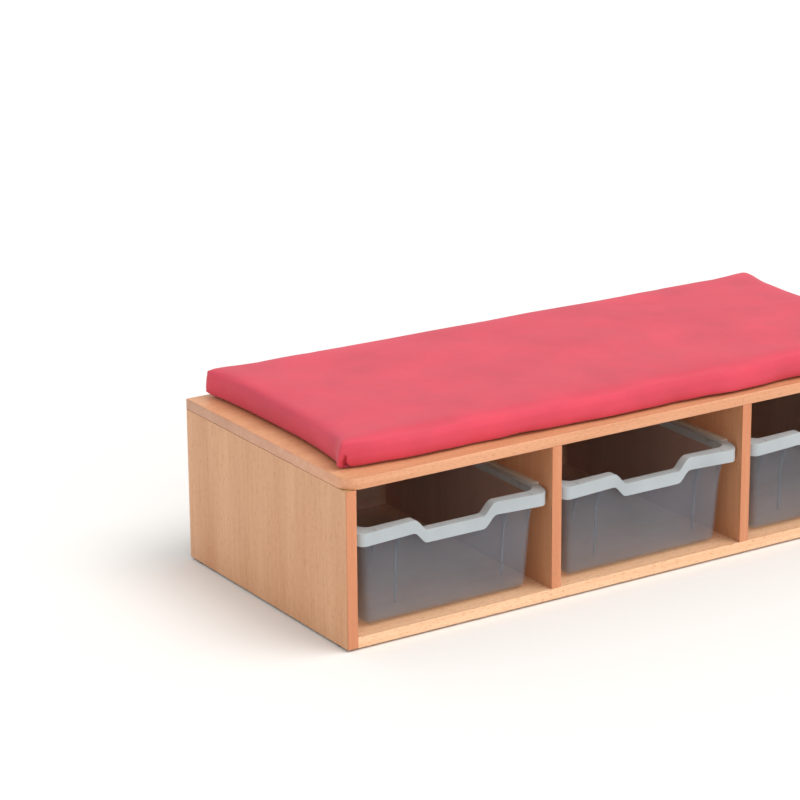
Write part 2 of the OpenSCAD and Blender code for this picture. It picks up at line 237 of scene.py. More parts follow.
def along_grain(tree, grain, size, shift):
    """Object coordinates in units of a pattern's size with the grain and across it."""
    along, across = size
    scale = [1 / across] * 3
    scale["XYZ".index(grain)] = 1 / along
    inputs = {"Vector": object_coordinates(tree), "Scale": scale, "Location": (shift, shift, shift)}
    return add(tree, "ShaderNodeMapping", inputs)


def beech_print(tree, grain, tones, fleck, shift):
    """Printed beech: broad soft figure, thin streaks, and the short dark flecks of this timber.

    Real flecks are about 2 mm long and 0.3 mm wide. They are drawn 7 mm long and 1.3 mm wide to
    show. The shift moves the print, so that no two boards show the same figure.
    """
    broad = add(
        tree,
        "ShaderNodeTexNoise",
        {
            "Vector": along_grain(tree, grain, FIGURE, shift),
            "Scale": 1.0,
            "Detail": 3.0,
            "Distortion": 0.3,
        },
    )
    thin = add(
        tree,
        "ShaderNodeTexNoise",
        {"Vector": along_grain(tree, grain, STREAKS, shift), "Scale": 1.0, "Detail": 2.0},
    )
    marks = add(
        tree,
        "ShaderNodeTexNoise",
        {"Vector": along_grain(tree, grain, FLECKS, shift), "Scale": 1.0, "Detail": 0.0},
    )
    figure = add(tree, "ShaderNodeMixRGB", {"Fac": 0.35, "Color1": broad, "Color2": thin})
    ground, streak = tones
    spread = add(
        tree, "ShaderNodeValToRGB", {"Fac": figure}, stops=[(0.36, ground), (0.64, streak)]
    )
    mask = add(
        tree, "ShaderNodeValToRGB", {"Fac": marks}, stops=[(0.60, grey(0.0)), (0.72, grey(0.4))]
    )
    printed = add(tree, "ShaderNodeMixRGB", {"Fac": mask, "Color1": spread, "Color2": fleck})
    return printed, thin, mask


def board_material(name, grain, face, tones, colours, shift):
    """Melamine-faced chipboard with a beech print, pressed satin: even tan with a faint figure.

    The print lies on the two faces square to `face`. The thin edges show the bare chipboard core.
    """
    material, tree, shader = new_material(name, Coat_Weight=0.06, Coat_Roughness=0.3)
    printed, thin, mask = beech_print(tree, grain, tones, colours.board_fleck, shift)
    chips = add(
        tree,
        "ShaderNodeTexVoronoi",
        {"Vector": object_coordinates(tree), "Scale": 1 / CHIPS},
        distance="CHEBYCHEV",
    )
    core = add(
        tree,
        "ShaderNodeValToRGB",
        {"Fac": add(tree, "ShaderNodeSeparateColor", {"Color": chips.outputs["Color"]})},
        stops=[(0.15, colours.chip), (0.8, colours.chipboard)],
    )
    facing = add(tree, "ShaderNodeTexCoord").outputs["Normal"]
    normal = add(tree, "ShaderNodeSeparateXYZ", {"Vector": facing})
    across = add(tree, "ShaderNodeMath", {0: normal.outputs[face]}, operation="ABSOLUTE")
    on_face = add(tree, "ShaderNodeMath", {0: across, 1: 0.5}, operation="GREATER_THAN")
    surface = add(tree, "ShaderNodeMixRGB", {"Fac": on_face, "Color1": core, "Color2": printed})
    gloss = add(tree, "ShaderNodeMapRange", {"Value": thin, "To Min": 0.38, "To Max": 0.52})
    bump = add(
        tree,
        "ShaderNodeBump",
        {"Height": mask, "Strength": 0.25, "Distance": 0.05 * MM},
        invert=True,
    )
    drive(tree, shader, Base_Color=surface, Roughness=gloss, Normal=bump)
    return material


def band_material(name, grain, tones, fleck, shift):
    """ABS edge band with a printed beech pattern: warmer and glossier than the boards."""
    material, tree, shader = new_material(name, Coat_Weight=0.12, Coat_Roughness=0.22)
    printed, thin, mask = beech_print(tree, grain, tones, fleck, shift)
    gloss = add(tree, "ShaderNodeMapRange", {"Value": thin, "To Min": 0.30, "To Max": 0.42})
    bump = add(
        tree,
        "ShaderNodeBump",
        {"Height": mask, "Strength": 0.2, "Distance": 0.05 * MM},
        invert=True,
    )
    drive(tree, shader, Base_Color=printed, Roughness=gloss, Normal=bump)
    return material


def back_board_material(colours):
    """Thin hardboard: beech print on the bay side, bare brown fibre with a fine felt behind."""
    material, tree, shader = new_material("hardboard_back", Roughness=0.7)
    tones = (colours.board, colours.board_streak)
    printed = beech_print(tree, "X", tones, colours.board_fleck, shift=3.0)[0]
    fibres = add(
        tree,
        "ShaderNodeTexNoise",
        {"Vector": object_coordinates(tree), "Scale": 1 / FIBRES, "Detail": 3.0},
    )
    bare = add(
        tree,
        "ShaderNodeValToRGB",
        {"Fac": fibres},
        stops=[(0.35, colours.fibre), (0.68, colours.hardboard)],
    )
    facing = add(tree, "ShaderNodeTexCoord").outputs["Normal"]
    normal = add(tree, "ShaderNodeSeparateXYZ", {"Vector": facing})
    at_front = add(tree, "ShaderNodeMath", {0: normal.outputs["Y"], 1: -0.5}, operation="LESS_THAN")
    surface = add(tree, "ShaderNodeMixRGB", {"Fac": at_front, "Color1": bare, "Color2": printed})
    bump = add(tree, "ShaderNodeBump", {"Height": fibres, "Strength": 0.3, "Distance": 0.1 * MM})
    drive(tree, shader, Base_Color=surface, Normal=bump)
    return material


def moulded_plastic(name, tone, grain, roughness, **values):
    """Injection-moulded plastic: spark-eroded grain, soft broken highlights, cloudy colour."""
    material, tree, shader = new_material(name, **values)
    cloud = add(
        tree,
        "ShaderNodeTexNoise",
        {"Vector": object_coordinates(tree), "Scale": 1 / PLASTIC_CLOUDS, "Detail": 2.0},
    )
    surface = add(
        tree, "ShaderNodeValToRGB", {"Fac": cloud}, stops=[(0.35, darker(tone, 0.88)), (0.65, tone)]
    )
    pits = add(
        tree,
        "ShaderNodeTexNoise",
        {"Vector": object_coordinates(tree), "Scale": 1 / grain, "Detail": 2.0},
    )
    low, high = roughness
    gloss = add(tree, "ShaderNodeMapRange", {"Value": cloud, "To Min": low, "To Max": high})
    bump = add(tree, "ShaderNodeBump", {"Height": pits, "Strength": 0.2, "Distance": 0.06 * MM})
    drive(tree, shader, Base_Color=surface, Roughness=gloss, Normal=bump)
    return material


def metal(name, tone, spot, roughness):
    """Plated or cast metal: cool grey, with the cloudy patches that plating leaves."""
    material, tree, shader = new_material(name, Metallic=1.0)
    patches = add(
        tree,
        "ShaderNodeTexNoise",
        {"Vector": object_coordinates(tree), "Scale": 1 / spot, "Detail": 3.0},
    )
    surface = add(
        tree,
        "ShaderNodeValToRGB",
        {"Fac": patches},
        stops=[(0.35, darker(tone, 0.75)), (0.65, tone)],
    )
    low, high = roughness
    gloss = add(tree, "ShaderNodeMapRange", {"Value": patches, "To Min": low, "To Max": high})
    drive(tree, shader, Base_Color=surface, Roughness=gloss)
    return material


def bare_beech(colours):
    """Turned, fluted beech dowel, unfinished: pale and dull, with short flecks."""
    material, tree, shader = new_material("bare_beech", Roughness=0.75)
    marks = add(
        tree,
        "ShaderNodeTexNoise",
        {"Vector": object_coordinates(tree), "Scale": 1 / DOWEL_FLECKS, "Detail": 2.0},
    )
    surface = add(
        tree,
        "ShaderNodeValToRGB",
        {"Fac": marks},
        stops=[(0.4, colours.dowel_fleck), (0.62, colours.dowel)],
    )
    bump = add(tree, "ShaderNodeBump", {"Height": marks, "Strength": 0.3, "Distance": 0.1 * MM})
    drive(tree, shader, Base_Color=surface, Normal=bump)
    return material


def tape_material(name, tone, spacing):
    """Nylon hook or loop tape: a dense matt pile of tiny hooks or loops, painted darker between the
    tufts as shade in the pile.
    """
    material, tree, shader = new_material(name, Roughness=0.9, Sheen_Weight=0.3)
    pile = add(
        tree, "ShaderNodeTexVoronoi", {"Vector": object_coordinates(tree), "Scale": 1 / spacing}
    )
    # Darker away from each tuft's middle: painted shade between the tufts
    surface = add(
        tree, "ShaderNodeValToRGB", {"Fac": pile}, stops=[(0.0, tone), (0.7, darker(tone, 0.5))]
    )
    bump = add(
        tree, "ShaderNodeBump", {"Height": pile, "Strength": 0.8, "Distance": 0.4 * MM}, invert=True
    )
    drive(tree, shader, Base_Color=surface, Normal=bump)
    return material


def cover_material(colours, weave):
    """Dense woven polyester upholstery, dyed red: matt, with a soft sheen and a fine plain weave.

    Real threads lie about 0.5 mm apart. They are drawn at the spacing given, so that they show.
    """
    material, tree, shader = new_material(
        "red_woven_polyester", Sheen_Weight=0.12, Sheen_Roughness=0.4, Specular_IOR_Level=0.3
    )
    uv = add(tree, "ShaderNodeUVMap", uv_map="weave").outputs["UV"]
    threads = [
        add(
            tree,
            "ShaderNodeTexWave",
            {
                "Vector": uv,
                "Scale": WAVE_REPEAT / weave,
                "Distortion": 0.6,
                "Detail": 1.0,
                "Detail Scale": 0.3,
            },
            bands_direction=direction,
        )
        for direction in "XY"
    ]
    cloth = add(tree, "ShaderNodeMixRGB", {"Fac": 0.5, "Color1": threads[0], "Color2": threads[1]})
    mottle = add(
        tree,
        "ShaderNodeTexNoise",
        {"Vector": uv, "Scale": 1 / COVER_MOTTLE, "Detail": 3.0, "Roughness": 0.55},
    )
    # Wide random patches of darker colour, which also vary the roughness
    ground = add(
        tree,
        "ShaderNodeValToRGB",
        {"Fac": mottle},
        stops=[(0.3, darker(colours.cover, 0.82)), (0.7, colours.cover)],
    )
    # The valleys between the threads are darkened toward the shade colour: painted shade in the
    # weave
    thread_valley_shade = add(tree, "ShaderNodeMapRange", {"Value": cloth, "To Min": 0.14, "To Max": 0.0})
    surface = add(
        tree,
        "ShaderNodeMixRGB",
        {"Fac": thread_valley_shade, "Color1": ground, "Color2": colours.painted_thread_shade},
    )
    gloss = add(tree, "ShaderNodeMapRange", {"Value": mottle, "To Min": 0.55, "To Max": 0.7})
    creases = add(
        tree,
        "ShaderNodeTexNoise",
        {"Vector": uv, "Scale": 1 / COVER_CREASES, "Detail": 4.0, "Distortion": 0.8},
    )
    soft = add(tree, "ShaderNodeBump", {"Height": creases, "Strength": 0.5, "Distance": 1.2 * MM})
    bump = add(
        tree,
        "ShaderNodeBump",
        {"Height": cloth, "Normal": soft, "Strength": 0.35, "Distance": 0.15 * MM},
    )
    drive(tree, shader, Base_Color=surface, Roughness=gloss, Normal=bump)
    return material


def dress(node, material):
    """Gives a carried-over CAD node its material."""
    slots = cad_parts[node].data.materials
    slots.clear()
    slots.append(material)


# ---- Mesh helpers ----


def in_scene(name, data):
    """A new object in the scene that shows a mesh, a light or a camera."""
    made = bpy.data.objects.new(name, data)
    bpy.context.scene.collection.objects.link(made)
    return made


def to_object(bm, name):
    """Turns a bmesh into an object."""
    mesh = bpy.data.meshes.new(name)
    bm.to_mesh(mesh)
    bm.free()
    return in_scene(name, mesh)


def place(bm, name, materials, body, nodes):
    """Turns a bmesh into a smooth-shaded piece that rides on a body and stands for CAD nodes."""
    piece = to_object(bm, name)
    piece.data.shade_smooth()
    for material in materials:
        piece.data.materials.append(material)
    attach(piece, body)
    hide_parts(*nodes)
    return piece


def apply_modifiers(piece):
    """Bakes the modifiers into the mesh."""
    graph = bpy.context.evaluated_depsgraph_get()
    mesh = bpy.data.meshes.new_from_object(piece.evaluated_get(graph))
    piece.modifiers.clear()
    piece.data = mesh


def box_between(bm, low, high):
    """Adds a box with these lowest and highest corners."""
    made = bmesh.ops.create_cube(bm, size=1.0)["verts"]
    bmesh.ops.scale(bm, vec=high - low, verts=made)
    bmesh.ops.translate(bm, vec=(low + high) / 2, verts=made)


def round_off(bm, parts, radius, segments, affect="EDGES"):
    """Rounds edges, or the corners of an outline where affect is VERTICES."""
    bmesh.ops.bevel(
        bm,
        geom=parts,
        offset=radius,
        segments=segments,
        profile=0.5,
        affect=affect,
        material=-1,
        clamp_overlap=True,
    )


def new_since(elements, before):
    """The elements that an operator has added."""
    return [e for e in elements if e not in before]


# ---- Edge bands ----


def straight_band(node, material, sizes):
    """A band on a front edge, its two outer edges and its ends eased."""
    low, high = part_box(node)
    bm = bmesh.new()
    box_between(bm, low, high)
    outer = [e for e in bm.edges if all(abs(v.co.y - low.y) < HAIR for v in e.verts)]
    round_off(bm, outer, sizes.band_round, segments=3)
    place(bm, node + "_eased", [material], "cabinet", [node])


def top_band(material, sizes):
    """The band that runs round the top board, with two round front corners and eased edges."""
    low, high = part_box("top_edge_band")
    middle = Vector(((low.x + high.x) / 2, (low.y + high.y) / 2, low.z))
    bm = bmesh.new()
    corners = bmesh.ops.create_grid(bm, x_segments=1, y_segments=1, size=0.5)["verts"]
    bmesh.ops.scale(bm, vec=(high.x - low.x, high.y - low.y, 1.0), verts=corners)
    bmesh.ops.translate(bm, vec=middle, verts=corners)
    front = [v for v in bm.verts if v.co.y < 0]
    round_off(bm, front, sizes.top_corner, segments=14, affect="VERTICES")
    bmesh.ops.inset_region(
        bm,
        faces=bm.faces[:],
        thickness=sizes.band_thickness,
        use_boundary=True,
        use_even_offset=True,
    )
    inside = max(bm.faces, key=lambda f: f.calc_area())
    bmesh.ops.delete(bm, geom=[inside], context="FACES")
    raised = bmesh.ops.extrude_face_region(bm, geom=bm.faces[:])["geom"]
    up = [v for v in raised if isinstance(v, bmesh.types.BMVert)]
    bmesh.ops.translate(bm, vec=(0, 0, high.z - low.z), verts=up)
    bmesh.ops.recalc_face_normals(bm, faces=bm.faces[:])

    def is_outer(edge):
        level = abs(edge.verts[0].co.z - edge.verts[1].co.z) < HAIR
        sides = [f for f in edge.link_faces if abs(f.normal.z) < 0.5]
        return level and any(f.normal.dot(f.calc_center_median() - middle) > 0 for f in sides)

    outer = [e for e in bm.edges if is_outer(e)]
    round_off(bm, outer, sizes.band_round, segments=3)
    place(bm, "top_band_eased", [material], "cabinet", ["top_edge_band"])


# ---- Trays ----

# Width of the rim at the sides and the ends of the mouth, how far the body tapers to its foot, and
# the radii of the corners
TRAY_RIM_SIDE = 11 * MM
TRAY_RIM_END = 13 * MM
TRAY_SIDE_DRAFT = 13 * MM
TRAY_END_DRAFT = 8 * MM
TRAY_RIM_RADIUS = 14 * MM
TRAY_MOUTH_RADIUS = 16 * MM
TRAY_FOOT_RADIUS = 8 * MM
TRAY_CORNER_STEPS = 6
TRAY_EDGE_ROUND = 0.7 * MM
# Straight parts that one shoulder of the dip is drawn with
SHOULDER_STEPS = 6

# Each pair of ribs: distance from the middle, length below the rim, how far it stands proud
RIBS = ((128 * MM, 58 * MM, 0.6 * MM), (88 * MM, 121 * MM, 2.4 * MM))
RIB_THICKNESS = 2 * MM
# Depth under the rim at which the web has narrowed to a rib, and its clearance above the lip's edge
RIB_NECK = 50 * MM
RIB_CLEARANCE = 1 * MM


def outline(bm, half, z, radius, cuts, keep_face):
    """A closed outline with round corners, cut at each x in cuts so that the rim can dip there."""
    before = set(bm.verts) | set(bm.edges) | set(bm.faces)
    corners = bmesh.ops.create_grid(bm, x_segments=1, y_segments=1, size=1.0)["verts"]
    bmesh.ops.scale(bm, vec=(half[0], half[1], 1.0), verts=corners)
    bmesh.ops.translate(bm, vec=(0, 0, z), verts=corners)
    round_off(bm, corners, radius, TRAY_CORNER_STEPS, affect="VERTICES")
    if not keep_face:
        bmesh.ops.delete(bm, geom=new_since(bm.faces, before), context="FACES_ONLY")
    for x in cuts:
        part = new_since([*bm.verts, *bm.edges, *bm.faces], before)
        bmesh.ops.bisect_plane(bm, geom=part, plane_co=(x, 0, 0), plane_no=(1, 0, 0))
    return [e for e in new_since(bm.edges, before) if len(e.link_faces) < 2]


def rim_drop(x, sizes):
    """How far the rim dips at x: level in the middle, with a soft shoulder on each side."""
    share = (sizes.dip_outer - abs(x)) / (sizes.dip_outer - sizes.dip_inner)
    share = min(max(share, 0.0), 1.0)
    return sizes.rim_dip * (1 - math.cos(math.pi * share)) / 2


def tray_sheet(bm, half, top, sizes):
    """The tray as a sheet: the outside of the body and the underside of the rim."""
    wall = sizes.tray_wall
    shoulder = sizes.dip_outer - sizes.dip_inner
    reach = [sizes.dip_inner + shoulder * k / SHOULDER_STEPS for k in range(SHOULDER_STEPS + 1)]
    cuts = [side * x for side in (-1, 1) for x in reach]
    under = top - wall
    rim_half = (half.x - wall, half.y - wall)
    rim = outline(bm, rim_half, under, TRAY_RIM_RADIUS - wall, cuts, keep_face=False)
    mouth_half = (half.x - TRAY_RIM_SIDE, half.y - TRAY_RIM_END)
    mouth = outline(bm, mouth_half, under, TRAY_MOUTH_RADIUS, cuts, keep_face=False)
    foot_half = (mouth_half[0] - TRAY_SIDE_DRAFT, mouth_half[1] - TRAY_END_DRAFT)
    foot = outline(bm, foot_half, half.z, TRAY_FOOT_RADIUS, cuts, keep_face=True)
    bmesh.ops.bridge_loops(bm, edges=mouth + foot)
    flange = bmesh.ops.bridge_loops(bm, edges=rim + mouth)["faces"]
    round_off(bm, foot, TRAY_FOOT_RADIUS, segments=4)
    return flange


def tray_ribs(bm, half, top, low, sizes):
    """Thin webs behind the front lip, each running down into a low rib on the front wall."""
    mouth_y = -half.y + TRAY_RIM_END
    slope = TRAY_END_DRAFT / (top - low)
    lip_y = -half.y + sizes.tray_wall / 2
    for distance, drop, proud in RIBS:
        for side in (-1, 1):
            points = (
                (lip_y, top - sizes.tray_wall / 2),
                (lip_y, top - sizes.lip_drop + RIB_CLEARANCE),
                (mouth_y + RIB_NECK * slope - proud, top - RIB_NECK),
                (mouth_y + drop * slope - proud, top - drop),
                (mouth_y + drop * slope + sizes.tray_wall / 2, top - drop),
                (mouth_y + sizes.tray_wall / 2, top - sizes.tray_wall / 2),
            )
            x = side * distance - RIB_THICKNESS / 2
            face = bm.faces.new([bm.verts.new((x, y, z)) for y, z in points])
            face.material_index = 1
            made = bmesh.ops.extrude_face_region(bm, geom=[face])["geom"]
            moved = [v for v in made if isinstance(v, bmesh.types.BMVert)]
            bmesh.ops.translate(bm, vec=(RIB_THICKNESS, 0, 0), verts=moved)
            shell = set(moved) | set(face.verts)
            rib = [f for f in bm.faces if set(f.verts) <= shell]
            bmesh.ops.recalc_face_normals(bm, faces=rib)


def tray(bay, materials, sizes):
    """One moulded tray: rounded tapering body, dipped rim, hanging lip and ribs."""
    node = bay + "_tray"
    low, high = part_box(node)
    half = Vector(((high.x - low.x) / 2, (high.y - low.y) / 2, low.z))
    middle = Vector(((low.x + high.x) / 2, (low.y + high.y) / 2, 0))
    under = high.z - sizes.tray_wall
    bm = bmesh.new()
    flange = tray_sheet(bm, half, high.z, sizes)

    # The side rims are cut where the lip's return ends, and the lip is drawn down from the rim.
    # The back lip has no returns, so that it passes between the runners
    for side in (-1, 1):
        part = set(flange)
        around = {v for f in part for v in f.verts} | {e for f in part for e in f.edges} | part
        cut = side * (half.y - sizes.lip_return)
        bmesh.ops.bisect_plane(bm, geom=list(around), plane_co=(0, cut, 0), plane_no=(0, 1, 0))
        flange = [f for f in bm.faces if all(abs(v.co.z - under) < HAIR for v in f.verts)]
    end_y = half.y - sizes.lip_return - HAIR
    back_x = half.x - TRAY_RIM_RADIUS + HAIR

    def carries_lip(v):
        return v.co.y < -end_y or (v.co.y > end_y and abs(v.co.x) < back_x)

    edge = [e for e in bm.edges if e.is_boundary and all(carries_lip(v) for v in e.verts)]
    for v in bm.verts:
        if abs(v.co.z - under) < HAIR and abs(v.co.y) > half.y - 2 * TRAY_RIM_END:
            to_end = max(abs(v.co.x) - sizes.dip_outer, 0.0) / (half.x - sizes.dip_outer)
            to_front = max(-v.co.y - (half.y - sizes.lip_return), 0.0) / sizes.lip_return
            v.co.z -= rim_drop(v.co.x, sizes) + sizes.rim_droop * to_end * to_front
    before = set(bm.faces)
    drawn = bmesh.ops.extrude_edge_only(bm, edges=edge)["geom"]
    hung = [v for v in drawn if isinstance(v, bmesh.types.BMVert)]
    bmesh.ops.translate(bm, vec=(0, 0, sizes.tray_wall - sizes.lip_drop), verts=hung)
    rim_faces = set(flange) | set(new_since(bm.faces, before))
    # Rim and lip faces take the lighter rim material, partly real for the doubled plastic and partly
    # painted light
    for f in bm.faces:
        f.material_index = 0 if f in rim_faces else 1
    bmesh.ops.recalc_face_normals(bm, faces=bm.faces[:])
    floor_face = min(bm.faces, key=lambda f: f.calc_center_median().z)
    if floor_face.normal.z > 0:
        bmesh.ops.reverse_faces(bm, faces=bm.faces[:])
    bmesh.ops.translate(bm, vec=middle, verts=bm.verts[:])
    piece = place(bm, bay + "_moulded_tray", materials, node, [node])
    shell = piece.modifiers.new("Wall", "SOLIDIFY")
    shell.thickness = sizes.tray_wall
    shell.offset = -1
    shell.use_even_offset = True
    apply_modifiers(piece)

    bm = bmesh.new()
    bm.from_mesh(piece.data)
    bmesh.ops.translate(bm, vec=-middle, verts=bm.verts[:])
    tray_ribs(bm, half, high.z, low.z, sizes)
    bmesh.ops.translate(bm, vec=middle, verts=bm.verts[:])
    bm.to_mesh(piece.data)
    bm.free()
    piece.data.shade_smooth()
    ease = piece.modifiers.new("Eased edges", "BEVEL")
    ease.width = TRAY_EDGE_ROUND
    ease.segments = 2
    ease.limit_method = "ANGLE"
    ease.angle_limit = math.radians(35)
    # Keeps flat faces looking flat between the rounded edges
    piece.modifiers.new("Weighted normals", "WEIGHTED_NORMAL").keep_sharp = True


# ---- Cushion ----

# The block before it swells: its corners as a share of the foam's, and the share of the crown that
# it leaves room for
CUSHION_VOXEL = 6 * MM
COVER_CORNER_SHARE = 0.6
BLANK_CROWN_SHARE = 0.3
# Radius of its top edges at the corners, and how far from a corner they stay that crisp
CRISP_EDGE = 5 * MM
CRISP_REACH = 45 * MM
# How far the front bellies out, and a power that keeps each side's shape close to that side
FRONT_BELLY = 4 * MM
SIDE_POWER = 9
SWELL_FRAMES = 20
# Below this height the cover lies flat on the board and needs no finer mesh
UNDERSIDE = 1 * MM

# Seams: distance from the top and the bottom, depth, width, and how the thread gathers them
SEAM_INSET = 9 * MM
SEAM_DEPTH = 0.9 * MM
SEAM_WIDTH = 2.2 * MM
GATHER_SPACING = 11 * MM
GATHER_MEAN = 0.75
GATHER_SWING = 0.5
# How far in from a side its strip reaches, and how much calmer the strip is at its top
STRIP_REACH = 12 * MM
CALM_SHARE = 0.6
# The strip's moves: how far, over what length, and the row of the noise that each reads
LEAN = 6 * MM
LEAN_SPACING = 105 * MM
LEAN_ROW = 4.0
PUCKER = 1.6 * MM
PUCKER_SPACING = 38 * MM
PUCKER_ROW = 5.0
LIFT = 4 * MM
LIFT_SPACING = 80 * MM
LIFT_HEIGHT = 9 * MM
LIFT_ROW = 9.0
END_ROW = 3.0
# Hollows in the top: depth, length, width, how far down they reach, and their row
DENT = 1.6 * MM
DENT_LENGTH = 130 * MM
DENT_WIDTH = 90 * MM
DENT_HEIGHT = 16 * MM
DENT_ROW = 3.0
# Ears at the corners: their reach, and how far they stand out over the length and the width.
# A minus is inwards
EAR_REACH = 24 * MM
BACK_EAR = Vector((4.2, 4.2, 0)) * MM
FRONT_EAR = Vector((12.0, -9.0, 0)) * MM
# Gap in the seam at the foot of each corner: height, depth, the most that it lies in from the two
# sides together, how far it lies beside the corner, its width at the tip, and what the foot adds
DART_HEIGHT = 20 * MM
DART_DEPTH = 14 * MM
DART_INSET = 20 * MM
DART_SIDE = 5 * MM
DART_TIP_WIDTH = 0.9 * MM
DART_FOOT_WIDTH = 1.8 * MM


def cushion_size(sizes):
    """Length, width and thickness of the cushion before it is turned, from its turned box."""
    low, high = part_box("cushion_cover")
    radius = sizes.cushion_corner
    c = math.cos(sizes.cushion_turn)
    s = abs(math.sin(sizes.cushion_turn))
    span_x = high.x - low.x - 2 * radius
    span_y = high.y - low.y - 2 * radius
    return Vector(
        (
            (span_x * c - span_y * s) / (c * c - s * s) + 2 * radius,
            (span_y * c - span_x * s) / (c * c - s * s) + 2 * radius,
            high.z - low.z,
        )
    )


def bell(distance, width):
    """1 at no distance, falling smoothly to nothing over a few widths."""
    return math.exp(-((distance / width) ** 2))


def soften(co, high, edge):
    """Rounds the top edge of the blank: crisp at the corners, wider between them."""
    from_side = min(high.x - abs(co.x), high.y - abs(co.y))
    from_corner = math.hypot(high.x - abs(co.x), high.y - abs(co.y))
    radius = CRISP_EDGE + (edge - CRISP_EDGE) * (1 - bell(from_corner, CRISP_REACH))
    out = radius - from_side
    up = radius - (high.z - co.z)
    reach = math.hypot(out, up)
    if min(out, up) <= 0 or reach <= radius:
        return
    co.z -= up * (1 - radius / reach)
    inward = out * (1 - radius / reach)
    if high.x - abs(co.x) < high.y - abs(co.y):
        co.x -= math.copysign(inward, co.x)
    else:
        co.y -= math.copysign(inward, co.y)


def cushion_blank(size, sizes):
    """The foam block in its cover before it swells, on z = 0: ends drawn in, front bellied out."""
    bm = bmesh.new()
    high = Vector((size.x / 2, size.y / 2, size.z - BLANK_CROWN_SHARE * sizes.cushion_crown))
    box_between(bm, Vector((-high.x, -high.y, 0)), high)
    upright = [e for e in bm.edges if abs(e.verts[0].co.z - e.verts[1].co.z) > size.z / 2]
    round_off(bm, upright, sizes.cushion_corner * COVER_CORNER_SHARE, segments=6)
    around = [
        e
        for e in bm.edges
        if abs(e.verts[0].co.z - e.verts[1].co.z) < HAIR and e.calc_face_angle(0.0) > SHARP
    ]
    round_off(bm, around, CRISP_EDGE, segments=4)
    blank = to_object(bm, "cushion_blank")
    remesh = blank.modifiers.new("Remesh", "REMESH")
    remesh.mode = "VOXEL"
    remesh.voxel_size = CUSHION_VOXEL
    apply_modifiers(blank)
    for v in blank.data.vertices:
        soften(v.co, high, sizes.cushion_edge)
        along_x = v.co.x / high.x
        along_y = v.co.y / high.y
        v.co.x -= sizes.cushion_pull * along_x**SIDE_POWER * (1 - along_y * along_y)
        if v.co.y < 0:
            v.co.y += FRONT_BELLY * along_y**SIDE_POWER * (1 - along_x * along_x)
    return blank


def swell(blank, crown):
    """Blows the cover up with Cloth, then eases each point's travel into the crown."""
    rest = [v.co.copy() for v in blank.data.vertices]
    cloth = blank.modifiers.new("Cloth", "CLOTH")
    settings = cloth.settings
    settings.quality = 5
    settings.use_pressure = True
    settings.uniform_pressure_force = 4
    settings.tension_stiffness = 40
    settings.compression_stiffness = 40
    settings.bending_stiffness = 2
    settings.effector_weights.gravity = 0
    scene = bpy.context.scene
    cloth.point_cache.frame_start = 1
    cloth.point_cache.frame_end = SWELL_FRAMES
    for moment in range(1, SWELL_FRAMES + 1):
        scene.frame_set(moment)
    apply_modifiers(blank)
    scene.frame_set(1)
    for v, start in zip(blank.data.vertices, rest):
        travel = v.co - start
        if travel.length > HAIR:
            v.co = start + travel * (crown * math.tanh(travel.length / crown) / travel.length)


def sewing(co, size):
    """How the seams and the handling of the cover move a point of the swollen cushion."""
    from_end = max(size.x / 2 - abs(co.x), 0.0)
    from_long = max(size.y / 2 - abs(co.y), 0.0)
    at_end = from_end < from_long
    on_side = bell(min(from_end, from_long), STRIP_REACH)
    side = math.copysign(1.0, co.x if at_end else co.y)
    inward = Vector((-side, 0, 0)) if at_end else Vector((0, -side, 0))
    run = co.y if at_end else co.x
    row = END_ROW * at_end + side
    height = co.z / size.z
    calm = 1 - CALM_SHARE * height
    move = Vector((0, 0, 0))

    # Plain seams near the top and the bottom of the side strip, gathered a little by the thread
    gather = GATHER_MEAN + GATHER_SWING * noise.noise(Vector((run / GATHER_SPACING, height, row)))
    for seam_z in (size.z - SEAM_INSET, SEAM_INSET):
        move += inward * SEAM_DEPTH * gather * on_side * bell(co.z - seam_z, SEAM_WIDTH)

    # The strip leans in and out along its length, and its foot lifts off the board here and there
    lean = noise.noise(Vector((run / LEAN_SPACING, LEAN_ROW, row)))
    move += inward * LEAN * lean * on_side * calm
    pucker = noise.noise(Vector((run / PUCKER_SPACING, height, row + PUCKER_ROW)))
    move += inward * PUCKER * pucker * on_side
    lift = max(noise.noise(Vector((run / LIFT_SPACING, LIFT_ROW, row))), 0.0)
    move.z += LIFT * lift * on_side * bell(co.z, LIFT_HEIGHT)

    # Wide faint hollows in the top, where it has been sat on
    dent = noise.noise(Vector((co.x / DENT_LENGTH, co.y / DENT_WIDTH, DENT_ROW)))
    move.z += DENT * dent * bell(co.z - size.z, DENT_HEIGHT) * (1 - on_side)

    # The corners of the cover stand out as small ears, more at the foot. The front ones are
    # pulled back
    ear = (BACK_EAR if co.y > 0 else FRONT_EAR).copy()
    ear.x = math.copysign(ear.x, co.x)
    ear.y = ear.y if co.y > 0 else -ear.y
    return move + ear * bell(math.hypot(from_end, from_long), EAR_REACH) * calm


def may_open(co, size):
    """Whether a point is near enough to the foot of a corner for its seam to open there."""
    from_end = size.x / 2 - abs(co.x)
    from_long = size.y / 2 - abs(co.y)
    return from_end + from_long < DART_INSET and co.z < DART_HEIGHT


def dart(co, size):
    """The gap in the seam at the foot of a corner: wide and deep there, closed at its tip."""
    if not may_open(co, size):
        return Vector((0, 0, 0))
    open_share = 1 - co.z / DART_HEIGHT
    from_end = size.x / 2 - abs(co.x)
    from_long = size.y / 2 - abs(co.y)
    beside = (from_end - from_long) / math.sqrt(2) - DART_SIDE
    width = DART_TIP_WIDTH + DART_FOOT_WIDTH * open_share
    depth = DART_DEPTH * open_share**0.5 * bell(beside, width)
    return Vector((-math.copysign(depth, co.x), -math.copysign(depth, co.y), 0)) / math.sqrt(2)


